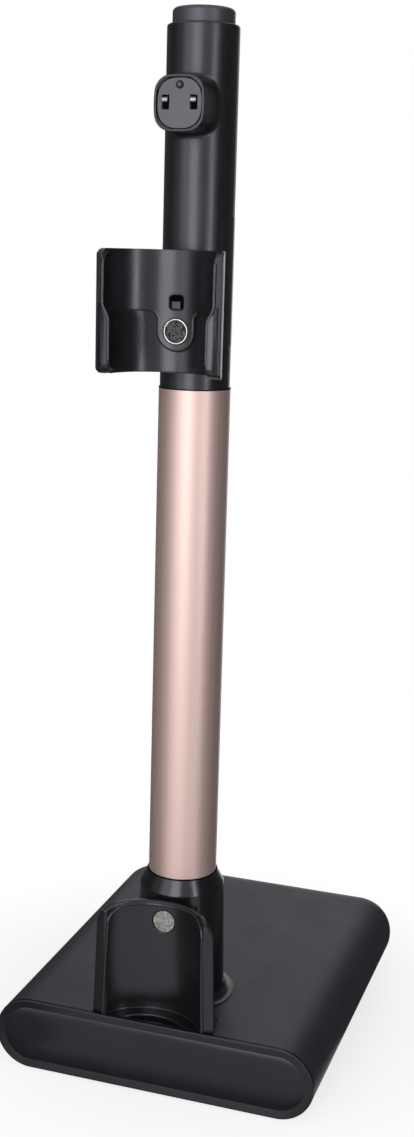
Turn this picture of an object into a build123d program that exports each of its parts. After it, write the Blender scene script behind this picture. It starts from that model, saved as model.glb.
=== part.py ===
import os

from build123d import *

os.makedirs("parts", exist_ok=True)

# Driving dimensions in millimetres: the post
overall_height = 908.6
tube_diameter = 60.0
tube_wall = 1.6
housing_diameter = 58.4
housing_wall = 2.4
housing_length = 286.2
cap_rise = 12.6
sleeve_grip = 50.0
sleeve_rise = 18.0
sleeve_wall = 2.5

# Driving dimensions: the base
base_width = 293.0
base_depth = 345.8
base_top = 66.7
base_wall = 2.6
base_corner = 36.0
parting_land = 0.4
post_setback = 72.6
foot_height = 2.0
foot_radius = 9.0
foot_recess = 0.8
foot_side = 100.0
foot_front = -58.0
foot_margin = 43.2
ballast_thickness = 8.0
ballast_width = 190.0
ballast_front = -58.0
ballast_margin = 45.2
ballast_corner = 12.0
bevel_width = 8.8
bevel_rise = 1.8
bevel_blend = 16.0
cap_edge = 0.8
lip_depth = 6.0
lip_wall = 1.6

# Driving dimensions: the post socket
socket_top = 182.3
socket_shoulder = 170.4
socket_radius = 37.4
socket_foot_radius = 40.0
socket_flare = 9.0
socket_flare_edge = 0.8
socket_spigot_radius = 36.0
socket_wire_bore = 24.0
tube_seat = 72.4

# Driving dimensions: the lower cradle
lower_deep = 46.6
lower_mouth_half = 44.0
lower_wall = 4.5
lower_front = 72.2
lower_foot_half = 55.6
lower_top_half = 52.2
lower_top = 167.8
lower_shoulder = 17.0
lower_foot_depth = 9.4
lower_flange = 3.0
lower_lip_round = 2.4
web_half = 24.5
web_top = 161.0
pocket_half = 26.6
pocket_lip = 69.6
pocket_back = 58.2
pocket_depth = 7.4
pocket_round = 0.8

# Driving dimensions: the upper cradle
cradle_reach = 95.9
cradle_lift = 15.0
cradle_height = 96.7
saddle_radius = 46.8
saddle_axis = 96.8
shell_radius = 51.4
shell_axis = 95.4
cradle_corner = 11.0
bead_height = 1.2
step_round = 1.7
tip_round = 1.2
bead_width = 6.3
recess_height = 48.5
recess_inset = 6.0
recess_radius = 48.3
recess_axis = 93.8
tongue_half = 16.2
tongue_corner = 7.0
pedestal_half = 20.0
pedestal_margin = 9.2
pedestal_corner = 6.0

# Driving dimensions: magnets and catch
magnet_radius = 9.9
magnet_thickness = 3.4
magnet_gap = 0.45
upper_magnet_proud = 1.0
lower_magnet_proud = 0.3
upper_magnet_lift = 32.9
lower_magnet_height = 149.9
catch_lift = 55.7
catch_window = 12.0
catch_window_corner = 3.0
catch_nose_width = 8.4
catch_nose_height = 7.0
catch_proud = 1.3
catch_flange = 14.8
catch_flange_thickness = 2.0
catch_wall = 3.2
catch_travel = 4.0

# Driving dimensions: the charging puck
puck_drop = 64.0
puck_width = 41.6
puck_height = 43.0
puck_bulge = 2.2
puck_corner = 13.5
puck_reach = 55.5
puck_blend = 5.0
puck_edge_round = 0.8
puck_rim = 2.0
puck_ledge = 0.9
plate_inset = 1.6
plate_thickness = 2.0
block_depth = 12.0
board_thickness = 1.6
contact_spread = 11.5
contact_rise = 0.9
contact_slot_width = 6.2
contact_slot_height = 11.4
contact_strip = 0.8
contact_strip_width = 4.4
contact_nose_radius = 2.3
contact_nose_lift = 1.6
contact_proud = 2.1
contact_flange_width = 7.8
contact_flange_height = 13.0
contact_flange_thickness = 1.2
plunger_rise = 13.6
plunger_radius = 2.5
plunger_hole_radius = 3.2
plunger_flange_radius = 3.6
plunger_flange_thickness = 1.2
plunger_proud = 2.6

# Driving dimensions: top cap, lead, inlet and springs
cap_radius = 25.1
cap_edge_round = 3.6
cap_flange = 1.3
cap_flange_height = 6.0
cap_rib = 2.0
cap_lip_height = 3.0
cap_lip_overhang = 1.4
rim_round = 2.0
lead_radius = 2.0
lead_setback = 8.0
lead_bend = 14.0
wire_hole_radius = 5.0
wire_drop = 9.0
jack_height = 20.7
jack_setback = 10.2
jack_radius = 5.5
jack_length = 20.0
jack_hole_radius = 2.8
jack_hole_depth = 9.0
jack_pin_radius = 1.0
jack_recess_radius = 8.0
jack_block_half = 12.0
spring_wire = 0.7
small_spring_radius = 2.4
catch_spring_radius = 3.2
spring_seat_depth = 1.0

# Driving dimensions: fasteners
screw_radius = 1.5
screw_head_radius = 2.9
screw_head_height = 2.2
ballast_gap = 3.8
base_screw_front = -18.0
base_screw_middle = 100.0
base_screw_margin = 73.2
base_boss_radius = 5.2
base_boss_joint = 20.0
base_head_seat = 6.0
base_screw_grip = 30.0
socket_screw_radius = 2.5
socket_screw_head_radius = 4.5
socket_screw_head_height = 2.4
socket_screw_offset = 21.2
socket_screw_grip = 12.0
shell_screw_side = 16.0
shell_screw_drops = (148.0, 24.0)
shell_boss_radius = 4.6
shell_head_seat = 16.0
shell_screw_grip = 28.0
cradle_screw_side = 13.0
cradle_screw_lifts = (28.4, 77.4)
cradle_pad_radius = 4.2
cradle_pad_face = 21.5
cradle_screw_grip = 16.5
lower_screw_heights = (98.0, 128.0)
lower_screw_grip = 10.3
lower_head_seat = 33.2
lock_screw_height = 133.0
lock_screw_radius = 2.0
lock_screw_head_radius = 4.4
lock_screw_head_height = 2.6
lock_seat = 37.0
lock_screw_grip = 10.5
sleeve_screw_seat = 27.6
sleeve_screw_head_height = 1.3
sleeve_screw_grip = 5.2

# Clearances between pieces that move or slip together
running_gap = 0.3
slip_gap = 0.15
same_size = 0.0001

# Values worked out from the driving dimensions
housing_top = overall_height - cap_rise
tube_top = housing_top - housing_length
cradle_low = tube_top + cradle_lift
cradle_high = cradle_low + cradle_height
recess_step = cradle_low + recess_height
pedestal_low = cradle_low + pedestal_margin
pedestal_high = cradle_high - pedestal_margin
upper_magnet_height = cradle_low + upper_magnet_lift
catch_height = cradle_low + catch_lift
puck_height_above_floor = housing_top - puck_drop
contact_height = puck_height_above_floor + contact_rise
plunger_height = puck_height_above_floor + plunger_rise
wire_height = puck_height_above_floor - wire_drop
base_screw_side = ballast_width / 2 + ballast_gap + base_boss_radius
tube_radius = tube_diameter / 2
tube_bore = tube_radius - tube_wall
housing_radius = housing_diameter / 2
housing_bore = housing_radius - housing_wall
base_body = base_top - foot_height
base_half_height = base_body / 2
base_middle = foot_height + base_half_height
base_back = base_depth - post_setback
foot_back = base_back - foot_margin
ballast_back = base_back - ballast_margin
jack_face = base_back - jack_setback
base_screw_places = (base_screw_front, base_screw_middle, base_back - base_screw_margin)
base_floor = foot_height + base_wall
base_ceiling = base_top - base_wall
ballast_top = base_floor + ballast_thickness
post_y = (max(cradle_reach, post_setback + bevel_rise + cap_edge) - base_back) / 2
plate_face = puck_reach - plate_inset
plate_back = plate_face - plate_thickness
block_back = plate_back - block_depth
board_back = block_back - board_thickness
lower_sagitta = lower_front - lower_deep
lower_trough_radius = (lower_mouth_half**2 + lower_sagitta**2) / (2 * lower_sagitta)
lower_trough_axis = lower_deep + lower_trough_radius
lower_back = lower_deep - lower_wall
lower_back_radius = lower_trough_radius + lower_wall
tongue_face = saddle_axis - saddle_radius
bead_reach = cradle_reach - bead_width
recess_reach = bead_reach - recess_inset
catch_stop = tongue_face - catch_wall
catch_spring_seat = housing_radius - spring_seat_depth
cap_flange_low = housing_top - cap_lip_height - cap_flange_height
contact_stop = plate_back - slip_gap


def level(height):
    """Horizontal plane at a height, centred on the post."""
    return Plane((0, post_y, height))


def facing(reach, side=0.0, height=0.0):
    """Upright plane that faces the front, at a reach in front of the post's axis."""
    return Plane((side, post_y - reach, height), x_dir=(1, 0, 0), z_dir=(0, -1, 0))


def rearward(back, side=0.0, height=0.0):
    """Upright plane that faces the rear, at a distance behind the post's axis."""
    return Plane((side, post_y + back, height), x_dir=(-1, 0, 0), z_dir=(0, 1, 0))


def downward(side, back, height):
    """Horizontal plane that faces the floor."""
    return Plane((side, post_y + back, height), x_dir=(1, 0, 0), z_dir=(0, 0, -1))


def sideways(side):
    """Upright plane across the post: local x is reach, local y is height."""
    return Plane((side, post_y, 0), x_dir=(0, -1, 0), z_dir=(-1, 0, 0))


def finish(piece, name):
    """Label a piece and write it."""
    piece.label = name
    export_step(piece, f"parts/{name}.step")


def barrels(piece, radius):
    """Cylindrical faces of a piece that have a given radius."""
    faces = piece.faces().filter_by(GeomType.CYLINDER)
    return [face for face in faces if face.radius and abs(face.radius - radius) < same_size]


def screw_group(seats, radius, head_radius, head_height, grip):
    """Pan-head screws: each seat lies under a head and faces along it."""
    with BuildPart() as group:
        for seat in seats:
            with BuildSketch(seat):
                Circle(head_radius)
            extrude(amount=head_height)
            with BuildSketch(seat):
                Circle(radius)
            extrude(amount=-grip)
    return group.part


def coil_envelope(seat, outer_radius, length):
    """Sleeve that holds the space of a small compression spring."""
    with BuildPart() as envelope:
        with BuildSketch(seat):
            Circle(outer_radius)
            Circle(outer_radius - spring_wire, mode=Mode.SUBTRACT)
        extrude(amount=length)
    return envelope.part


def base_half(inset, rise):
    """Half of the base's form above or below its parting line, drawn in by a wall."""
    half = base_width / 2 - inset
    back = base_back - inset
    height = base_half_height - inset
    with BuildPart() as form:
        with BuildSketch(level(base_middle)):
            with BuildLine():
                FilletPolyline(
                    (-half, -post_setback),
                    (-half, back),
                    (half, back),
                    (half, -post_setback),
                    radius=base_corner - inset,
                )
                Line((half, -post_setback), (-half, -post_setback))
            make_face()
        extrude(amount=rise * height)
        rim = form.edges().group_by(Axis.Z)[-1 if rise > 0 else 0]
        fillet(rim.sort_by(Axis.Y)[1:], radius=height - parting_land)
    return form.part


def socket_form():
    """Outer form of the post socket, trimmed where the lower cradle stands."""
    with BuildPart() as form:
        with BuildSketch(facing(0)) as profile:
            with BuildLine():
                Polyline(
                    (0, ballast_top),
                    (socket_spigot_radius, ballast_top),
                    (socket_spigot_radius, base_top),
                    (socket_foot_radius + socket_flare, base_top),
                    (socket_foot_radius + socket_flare, base_top + socket_flare_edge),
                    (socket_foot_radius, base_top + socket_flare_edge),
                    (socket_radius, socket_shoulder),
                    (tube_radius + slip_gap + tube_wall / 2, socket_top),
                    (0, socket_top),
                    close=True,
                )
            make_face()
            inner = profile.vertices().sort_by_distance((socket_foot_radius, base_top + socket_flare_edge))
            fillet(inner[0], radius=socket_flare - slip_gap)
            shoulder = profile.vertices().sort_by_distance((socket_radius, socket_shoulder))
            fillet(shoulder[0], radius=tube_wall)
        revolve(axis=Axis((0, post_y, 0), (0, 0, 1)))
        with BuildSketch(level(base_top)):
            with Locations((0, -lower_back - lower_back_radius)):
                Circle(lower_back_radius)
        extrude(amount=socket_top - base_top, mode=Mode.SUBTRACT)
    return form.part


def puck_outline(inset):
    """Rounded outline of the charging puck, four shallow arcs drawn in by a border."""
    half_width = puck_width / 2
    half_height = puck_height / 2
    brow_radius = ((half_width - puck_bulge) ** 2 + puck_bulge**2) / (2 * puck_bulge)
    side_radius = ((half_height - puck_bulge) ** 2 + puck_bulge**2) / (2 * puck_bulge)
    with BuildSketch() as outline:
        with Locations((0, half_height - brow_radius)):
            Circle(brow_radius - inset)
        with Locations((0, brow_radius - half_height)):
            Circle(brow_radius - inset, mode=Mode.INTERSECT)
        with Locations((half_width - side_radius, 0)):
            Circle(side_radius - inset, mode=Mode.INTERSECT)
        with Locations((side_radius - half_width, 0)):
            Circle(side_radius - inset, mode=Mode.INTERSECT)
        fillet(outline.vertices(), radius=puck_corner - inset)
    return outline.sketch


def puck_prism(reach, depth, inset):
    """Prism of the puck's outline, from a reach back by a depth."""
    outline = puck_outline(inset)
    with BuildPart() as prism:
        with BuildSketch(facing(reach, height=puck_height_above_floor)):
            add(outline)
        extrude(amount=-depth)
    return prism.part


# Base screws hold tray and cover, so their places are shared by both halves
base_screw_points = [
    (side, back) for side in (-base_screw_side, base_screw_side) for back in base_screw_places
]
foot_points = [(side, back) for side in (-foot_side, foot_side) for back in (foot_front, foot_back)]

# Base cover: upper half of the base shell
cover_outside = base_half(0, 1)
cover_inside = base_half(base_wall, 1)
with BuildPart() as base_cover:
    add(cover_outside)
    add(cover_inside, mode=Mode.SUBTRACT)
    with BuildSketch(level(base_boss_joint)):
        with Locations(*base_screw_points):
            Circle(base_boss_radius)
    extrude(amount=base_ceiling - base_boss_joint + base_wall / 2)
    with BuildSketch(level(base_boss_joint)):
        with Locations(*base_screw_points):
            Circle(screw_radius)
    extrude(amount=base_screw_grip - base_boss_joint + base_head_seat + screw_radius, mode=Mode.SUBTRACT)
    with BuildSketch(level(base_middle)):
        Circle(socket_spigot_radius + slip_gap)
    extrude(amount=base_half_height, mode=Mode.SUBTRACT)
    with BuildSketch(level(base_middle)):
        with Locations((0, -(post_setback + lower_back) / 2)):
            Rectangle(2 * lower_foot_half, post_setback - lower_back)
    extrude(amount=base_half_height, mode=Mode.SUBTRACT)
finish(base_cover.part, "base_cover")

# Base tray: lower half of the base shell, with bosses, foot recesses and the inlet's block
tray_outside = base_half(0, -1)
tray_inside = base_half(base_wall, -1)
with BuildPart() as inlet_block:
    add(tray_outside)
    with BuildSketch(rearward(jack_face - jack_length / 2, height=jack_height)):
        Rectangle(2 * jack_block_half, 2 * jack_recess_radius + base_wall)
    extrude(amount=jack_length, mode=Mode.INTERSECT)
with BuildPart() as base_tray:
    add(tray_outside)
    add(tray_inside, mode=Mode.SUBTRACT)
    with BuildSketch(level(base_floor - base_wall / 2)):
        with Locations(*base_screw_points):
            Circle(base_boss_radius)
    extrude(amount=base_boss_joint - base_floor + base_wall / 2)
    for side, back in base_screw_points:
        with BuildSketch(downward(side, back, base_head_seat)):
            Circle(screw_head_radius + running_gap)
        extrude(amount=base_head_seat, mode=Mode.SUBTRACT)
        with BuildSketch(downward(side, back, base_boss_joint)):
            Circle(screw_radius + slip_gap)
        extrude(amount=base_boss_joint, mode=Mode.SUBTRACT)
    with BuildSketch(level(foot_height)):
        with Locations(*foot_points):
            Circle(foot_radius)
    extrude(amount=foot_recess, mode=Mode.SUBTRACT)
    with BuildSketch(level(foot_height)):
        with GridLocations(2 * socket_screw_offset, 2 * socket_screw_offset, 2, 2):
            Circle(socket_screw_head_radius + running_gap)
    extrude(amount=base_wall, mode=Mode.SUBTRACT)
    add(inlet_block.part)
    with BuildSketch(rearward(jack_face, height=jack_height)):
        Circle(jack_recess_radius)
    extrude(amount=base_back - jack_face, mode=Mode.SUBTRACT)
    with BuildSketch(rearward(jack_face, height=jack_height)):
        Circle(jack_radius)
    extrude(amount=-jack_length, mode=Mode.SUBTRACT)
finish(base_tray.part, "base_tray")

# Base front cover: stadium end cap with a bevelled border and a lip inside the shells
with BuildPart() as base_front_cover:
    with BuildSketch(facing(post_setback, height=base_middle)):
        SlotOverall(base_width, base_body)
    extrude(amount=cap_edge)
    with BuildSketch(facing(post_setback + cap_edge, height=base_middle)):
        SlotOverall(base_width, base_body)
    with BuildSketch(facing(post_setback + cap_edge + bevel_rise, height=base_middle)):
        SlotOverall(base_width - 2 * bevel_width, base_body - 2 * bevel_width)
    loft(ruled=True)
    panel = base_front_cover.faces().sort_by(Axis.Y)[0]
    fillet(panel.edges(), radius=bevel_blend)
    lip_inset = base_wall + slip_gap
    with BuildSketch(facing(post_setback, height=base_middle)):
        SlotOverall(base_width - 2 * lip_inset, base_body - 2 * lip_inset)
        lip_inner = lip_inset + lip_wall
        SlotOverall(base_width - 2 * lip_inner, base_body - 2 * lip_inner, mode=Mode.SUBTRACT)
        notch_half = lower_foot_half + lower_flange + running_gap
        notch_depth = lower_foot_depth + running_gap
        with Locations((0, base_half_height)):
            Rectangle(2 * notch_half, 2 * notch_depth, mode=Mode.SUBTRACT)
    extrude(amount=-lip_depth)
finish(base_front_cover.part, "base_front_cover")

# Ballast plate: steel weight on the tray's floor, drilled for the socket screws
with BuildPart() as ballast_plate:
    with BuildSketch(level(base_floor)):
        with Locations((0, (ballast_front + ballast_back) / 2)):
            RectangleRounded(ballast_width, ballast_back - ballast_front, ballast_corner)
        with GridLocations(2 * socket_screw_offset, 2 * socket_screw_offset, 2, 2):
            Circle(socket_screw_radius + slip_gap, mode=Mode.SUBTRACT)
    extrude(amount=ballast_thickness)
finish(ballast_plate.part, "ballast_plate")

# Rubber feet: four pads glued into shallow recesses under the tray
with BuildPart() as rubber_feet:
    with BuildSketch(level(0)):
        with Locations(*foot_points):
            Circle(foot_radius)
    extrude(amount=foot_height + foot_recess)
finish(rubber_feet.part, "rubber_feet")

# Base screws: driven from below through the tray into the cover's bosses
base_screw_seats = [downward(side, back, base_head_seat) for side, back in base_screw_points]
base_screws = screw_group(
    base_screw_seats, screw_radius, screw_head_radius, screw_head_height, base_screw_grip
)
finish(base_screws, "base_screws")

# Post socket: collar with a conical shoulder and a flared foot, on a spigot that stands on the ballast
socket_outside = socket_form()
with BuildPart() as post_socket:
    add(socket_outside)
    with BuildSketch(level(tube_seat)):
        Circle(tube_radius + slip_gap)
    extrude(amount=socket_top - tube_seat, mode=Mode.SUBTRACT)
    with BuildSketch(level(ballast_top)):
        Circle(socket_wire_bore)
    extrude(amount=tube_seat - ballast_top, mode=Mode.SUBTRACT)
    with BuildSketch(level(ballast_top)):
        with GridLocations(2 * socket_screw_offset, 2 * socket_screw_offset, 2, 2):
            Circle(socket_screw_radius)
    extrude(amount=socket_screw_grip, mode=Mode.SUBTRACT)
    with BuildSketch(rearward(socket_wire_bore / 2, height=jack_height)):
        Circle(wire_hole_radius)
    extrude(amount=socket_spigot_radius, mode=Mode.SUBTRACT)
    for height in lower_screw_heights:
        with BuildSketch(facing(tube_seat / 4, height=height)):
            Circle(screw_radius)
        extrude(amount=socket_spigot_radius, mode=Mode.SUBTRACT)
        with BuildSketch(facing(lower_head_seat, height=height)):
            Circle(screw_head_radius + running_gap)
        extrude(amount=-tube_seat / 4, mode=Mode.SUBTRACT)
    with BuildSketch(rearward(lock_seat, height=lock_screw_height)):
        Circle(lock_screw_head_radius + running_gap)
    extrude(amount=socket_foot_radius - lock_seat, mode=Mode.SUBTRACT)
    with BuildSketch(rearward(lock_seat, height=lock_screw_height)):
        Circle(lock_screw_radius)
    extrude(amount=-lock_screw_grip, mode=Mode.SUBTRACT)
finish(post_socket.part, "post_socket")

# Socket screws: four bolts from below through the ballast into the spigot
socket_screw_seats = [
    downward(side, back, base_floor)
    for side in (-socket_screw_offset, socket_screw_offset)
    for back in (-socket_screw_offset, socket_screw_offset)
]
socket_screws = screw_group(
    socket_screw_seats,
    socket_screw_radius,
    socket_screw_head_radius,
    socket_screw_head_height,
    ballast_thickness + socket_screw_grip,
)
finish(socket_screws, "socket_screws")


def lower_elevation():
    """Front view of the lower cradle above the shelf, narrower at the top and with rounded shoulders."""
    with BuildSketch() as outline:
        with BuildLine():
            Polyline(
                (-lower_foot_half, base_top),
                (lower_foot_half, base_top),
                (lower_top_half, lower_top),
                (-lower_top_half, lower_top),
                close=True,
            )
        make_face()
        fillet(outline.vertices().group_by(Axis.Y)[-1], radius=lower_shoulder)
    return outline.sketch


# Lower cradle: trough with a flat border, stood in a notch of the cover and tied to the socket by a web
cradle_outline = lower_elevation()
with BuildPart() as trough_form:
    with BuildSketch(level(base_top)):
        with Locations((0, -lower_trough_axis)):
            Circle(lower_back_radius)
        with Locations((0, -lower_front)):
            Rectangle(base_width, base_width, align=(Align.CENTER, Align.MAX), mode=Mode.SUBTRACT)
            Rectangle(2 * lower_foot_half, lower_wall, align=(Align.CENTER, Align.MIN))
        with Locations((0, -lower_trough_axis)):
            Circle(lower_trough_radius, mode=Mode.SUBTRACT)
    extrude(amount=lower_top - base_top)
with BuildPart() as lower_cradle:
    with BuildSketch(facing(lower_front)):
        add(cradle_outline)
    extrude(amount=lower_back - lower_front)
    add(trough_form.part, mode=Mode.INTERSECT)
    trough_edges = [edge for face in barrels(lower_cradle, lower_trough_radius) for edge in face.edges()]
    fillet([edge for edge in trough_edges if edge.center().Z > base_top + same_size], radius=lower_lip_round)
    with BuildSketch(facing((lower_back + lower_deep) / 2)):
        with Locations((0, (base_top + web_top) / 2)):
            Rectangle(2 * web_half, web_top - base_top)
    extrude(amount=-lower_deep / 2)
    add(socket_outside, mode=Mode.SUBTRACT)
    with BuildSketch(level(base_top)):
        with Locations((0, -(post_setback + lower_back) / 2)):
            Rectangle(2 * lower_foot_half, post_setback - lower_back)
    extrude(amount=-lower_foot_depth)
    with BuildSketch(level(base_ceiling)):
        with Locations((0, -(post_setback + lower_back - lower_flange) / 2)):
            Rectangle(2 * (lower_foot_half + lower_flange), post_setback - lower_back + lower_flange)
    extrude(amount=-lower_flange)
    pocket_sagitta = pocket_lip - pocket_back
    pocket_radius = (pocket_half**2 + pocket_sagitta**2) / (2 * pocket_sagitta)
    with BuildSketch(level(base_top)):
        with Locations((0, -pocket_back - pocket_radius)):
            Circle(pocket_radius)
        with Locations((0, -pocket_lip)):
            Rectangle(base_width, base_width, align=(Align.CENTER, Align.MAX), mode=Mode.SUBTRACT)
    extrude(amount=-pocket_depth, mode=Mode.SUBTRACT)
    pocket_edges = lower_cradle.edges(Select.LAST)
    pocket_rim = [edge for edge in pocket_edges if abs(edge.center().Z - base_top) < same_size]
    fillet(pocket_rim, radius=pocket_round)
    with BuildSketch(facing(lower_deep + lower_magnet_proud - magnet_thickness, height=lower_magnet_height)):
        Circle(magnet_radius + magnet_gap)
    extrude(amount=post_setback, mode=Mode.SUBTRACT)
    for height in lower_screw_heights:
        with BuildSketch(facing(lower_head_seat, height=height)):
            Circle(screw_radius)
        extrude(amount=lower_screw_grip, mode=Mode.SUBTRACT)
finish(lower_cradle.part, "lower_cradle")

# Lower cradle screws: driven forward from inside the socket into the web
lower_screw_seats = [rearward(-lower_head_seat, height=height) for height in lower_screw_heights]
lower_cradle_screws = screw_group(
    lower_screw_seats, screw_radius, screw_head_radius, screw_head_height, lower_screw_grip
)
finish(lower_cradle_screws, "lower_cradle_screws")


def magnet_disc(face, height):
    """Nickel-plated disc, with its front face at a reach."""
    with BuildPart() as disc:
        with BuildSketch(facing(face, height=height)):
            Circle(magnet_radius)
        extrude(amount=-magnet_thickness)
        fillet(disc.edges().sort_by(Axis.Y)[0], radius=magnet_gap)
    return disc.part


# Lower magnet: disc set in the trough's deepest line
lower_magnet = magnet_disc(lower_deep + lower_magnet_proud, lower_magnet_height)
finish(lower_magnet, "lower_magnet")

# Post tube: anodised aluminium tube between socket and housing
with BuildPart() as post_tube:
    with BuildSketch(level(tube_seat)):
        Circle(tube_radius)
        Circle(tube_bore, mode=Mode.SUBTRACT)
    extrude(amount=tube_top - tube_seat)
    with BuildSketch(rearward(lock_seat, height=lock_screw_height)):
        Circle(lock_screw_radius)
    extrude(amount=-lock_screw_grip, mode=Mode.SUBTRACT)
finish(post_tube.part, "post_tube")

# Tube lock screw: pins the tube at the back of the socket
tube_lock_screw = screw_group(
    [rearward(lock_seat, height=lock_screw_height)],
    lock_screw_radius,
    lock_screw_head_radius,
    lock_screw_head_height,
    lock_screw_grip,
)
finish(tube_lock_screw, "tube_lock_screw")

# Joint sleeve: stepped sleeve pressed into the tube, which the housing stands on
with BuildPart() as joint_sleeve:
    with BuildSketch(level(tube_top - sleeve_grip)):
        Circle(tube_bore)
    extrude(amount=sleeve_grip)
    with BuildSketch(level(tube_top)):
        Circle(housing_bore)
    extrude(amount=sleeve_rise)
    with BuildSketch(level(tube_top - sleeve_grip)):
        Circle(housing_bore - sleeve_wall)
    extrude(amount=sleeve_grip + sleeve_rise, mode=Mode.SUBTRACT)
    with BuildSketch(rearward(sleeve_screw_seat, height=tube_top + sleeve_rise / 2)):
        Circle(screw_radius)
    extrude(amount=-sleeve_screw_grip, mode=Mode.SUBTRACT)
finish(joint_sleeve.part, "joint_sleeve")

# Sleeve screw: holds the rear shell to the joint sleeve
sleeve_screw = screw_group(
    [rearward(sleeve_screw_seat, height=tube_top + sleeve_rise / 2)],
    screw_radius,
    screw_head_radius,
    sleeve_screw_head_height,
    sleeve_screw_grip,
)
finish(sleeve_screw, "sleeve_screw")

shell_screw_points = [
    (side, housing_top - drop)
    for side in (-shell_screw_side, shell_screw_side)
    for drop in shell_screw_drops
]
cradle_screw_points = [
    (side, cradle_low + lift)
    for side in (-cradle_screw_side, cradle_screw_side)
    for lift in cradle_screw_lifts
]


def shell_bore():
    """Inside of the charging housing: cap lip, cap rib, screw bosses and cradle pads stay."""
    with BuildPart() as bore:
        with BuildSketch(level(tube_top)):
            Circle(housing_bore)
        extrude(amount=cap_flange_low - cap_rib - tube_top)
        with BuildSketch(level(cap_flange_low - cap_rib)):
            Circle(cap_radius - cap_flange)
        extrude(amount=cap_rib)
        with BuildSketch(level(cap_flange_low)):
            Circle(housing_bore)
        extrude(amount=cap_flange_height)
        with BuildSketch(level(cap_flange_low + cap_flange_height)):
            Circle(cap_radius + slip_gap)
        extrude(amount=cap_lip_height)
        with BuildSketch(facing(0)):
            with Locations(*shell_screw_points):
                Circle(shell_boss_radius)
        extrude(amount=housing_radius, both=True, mode=Mode.SUBTRACT)
        with BuildSketch(facing(cradle_pad_face)):
            with Locations(*cradle_screw_points):
                Circle(cradle_pad_radius)
        extrude(amount=housing_radius, mode=Mode.SUBTRACT)
    return bore.part


def shell_half(front):
    """Half of the charging housing's outer form, before it is hollowed."""
    with BuildPart() as half:
        with BuildSketch(level(tube_top)):
            Circle(housing_radius)
            with Locations((0, housing_radius if front else -housing_radius)):
                Rectangle(housing_diameter, housing_diameter, mode=Mode.SUBTRACT)
        extrude(amount=housing_top - tube_top)
        rim = half.edges().filter_by(GeomType.CIRCLE).sort_by(Axis.Z)[-1]
        fillet(rim, radius=rim_round)
    return half.part


# Front half of the charging housing, with the puck's neck
front_outside = shell_half(True)
shell_inside = shell_bore()
puck_neck = puck_prism(puck_reach, puck_reach - housing_bore / 2, 0)
plate_recess = puck_prism(puck_reach, puck_reach - plate_back, puck_rim)
block_recess = puck_prism(plate_back, plate_back - board_back, puck_rim + puck_ledge)
with BuildPart() as housing_front:
    add(front_outside)
    add(puck_neck)
    neck = [edge for edge in housing_front.edges() if edge.geom_type not in (GeomType.LINE, GeomType.CIRCLE)]
    neck = [edge for edge in neck if edge.center().Z < puck_height_above_floor + puck_height]
    fillet(neck, radius=puck_blend)
    brim = housing_front.faces().sort_by(Axis.Y)[0]
    fillet(brim.edges(), radius=puck_edge_round)
    add(shell_inside, mode=Mode.SUBTRACT)
    add(plate_recess, mode=Mode.SUBTRACT)
    add(block_recess, mode=Mode.SUBTRACT)
    with BuildSketch(facing(board_back, height=wire_height)):
        Circle(wire_hole_radius)
    extrude(amount=-board_back / 2, mode=Mode.SUBTRACT)
    with BuildSketch(facing(0)):
        with Locations(*shell_screw_points):
            Circle(screw_radius)
    extrude(amount=shell_screw_grip - shell_head_seat + screw_radius, mode=Mode.SUBTRACT)
    with BuildSketch(facing(cradle_pad_face)):
        with Locations(*cradle_screw_points):
            Circle(screw_radius + slip_gap)
    extrude(amount=housing_radius - cradle_pad_face, mode=Mode.SUBTRACT)
    with BuildSketch(facing(catch_spring_seat, height=catch_height)):
        Circle(catch_spring_radius + running_gap)
    extrude(amount=housing_radius, mode=Mode.SUBTRACT)
finish(housing_front.part, "housing_front")

# Rear half of the charging housing, with deep screw holes
rear_outside = shell_half(False)
with BuildPart() as housing_rear:
    add(rear_outside)
    add(shell_inside, mode=Mode.SUBTRACT)
    with BuildSketch(facing(0)):
        with Locations(*shell_screw_points):
            Circle(screw_radius + slip_gap)
    extrude(amount=-housing_radius, mode=Mode.SUBTRACT)
    with BuildSketch(facing(-shell_head_seat)):
        with Locations(*shell_screw_points):
            Circle(screw_head_radius + running_gap)
    extrude(amount=-housing_radius, mode=Mode.SUBTRACT)
    with BuildSketch(rearward(sleeve_screw_seat, height=tube_top + sleeve_rise / 2)):
        Circle(screw_head_radius + running_gap)
    extrude(amount=housing_radius - sleeve_screw_seat, mode=Mode.SUBTRACT)
    with BuildSketch(rearward(sleeve_screw_seat, height=tube_top + sleeve_rise / 2)):
        Circle(screw_radius)
    extrude(amount=-housing_wall, mode=Mode.SUBTRACT)
finish(housing_rear.part, "housing_rear")

# Housing screws: four from the rear through the rear shell's bosses into the front shell's
shell_screw_seats = [rearward(shell_head_seat, side, height) for side, height in shell_screw_points]
housing_screws = screw_group(
    shell_screw_seats, screw_radius, screw_head_radius, screw_head_height, shell_screw_grip
)
finish(housing_screws, "housing_screws")

# Top cap: hollow plug whose flange is caught between the lip and the rib of the two shells
with BuildPart() as top_cap:
    with BuildSketch(facing(0)) as cap_profile:
        with BuildLine():
            Polyline(
                (cap_radius - housing_wall, cap_flange_low),
                (cap_radius + cap_flange, cap_flange_low),
                (cap_radius + cap_flange, cap_flange_low + cap_flange_height),
                (cap_radius, cap_flange_low + cap_flange_height),
                (cap_radius, overall_height),
                (0, overall_height),
                (0, overall_height - housing_wall),
                (cap_radius - housing_wall, overall_height - housing_wall),
                close=True,
            )
        make_face()
        brow = cap_profile.vertices().sort_by_distance((cap_radius, overall_height))[0]
        fillet(brow, radius=cap_edge_round)
    revolve(axis=Axis((0, post_y, 0), (0, 0, 1)))
finish(top_cap.part, "top_cap")


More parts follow.
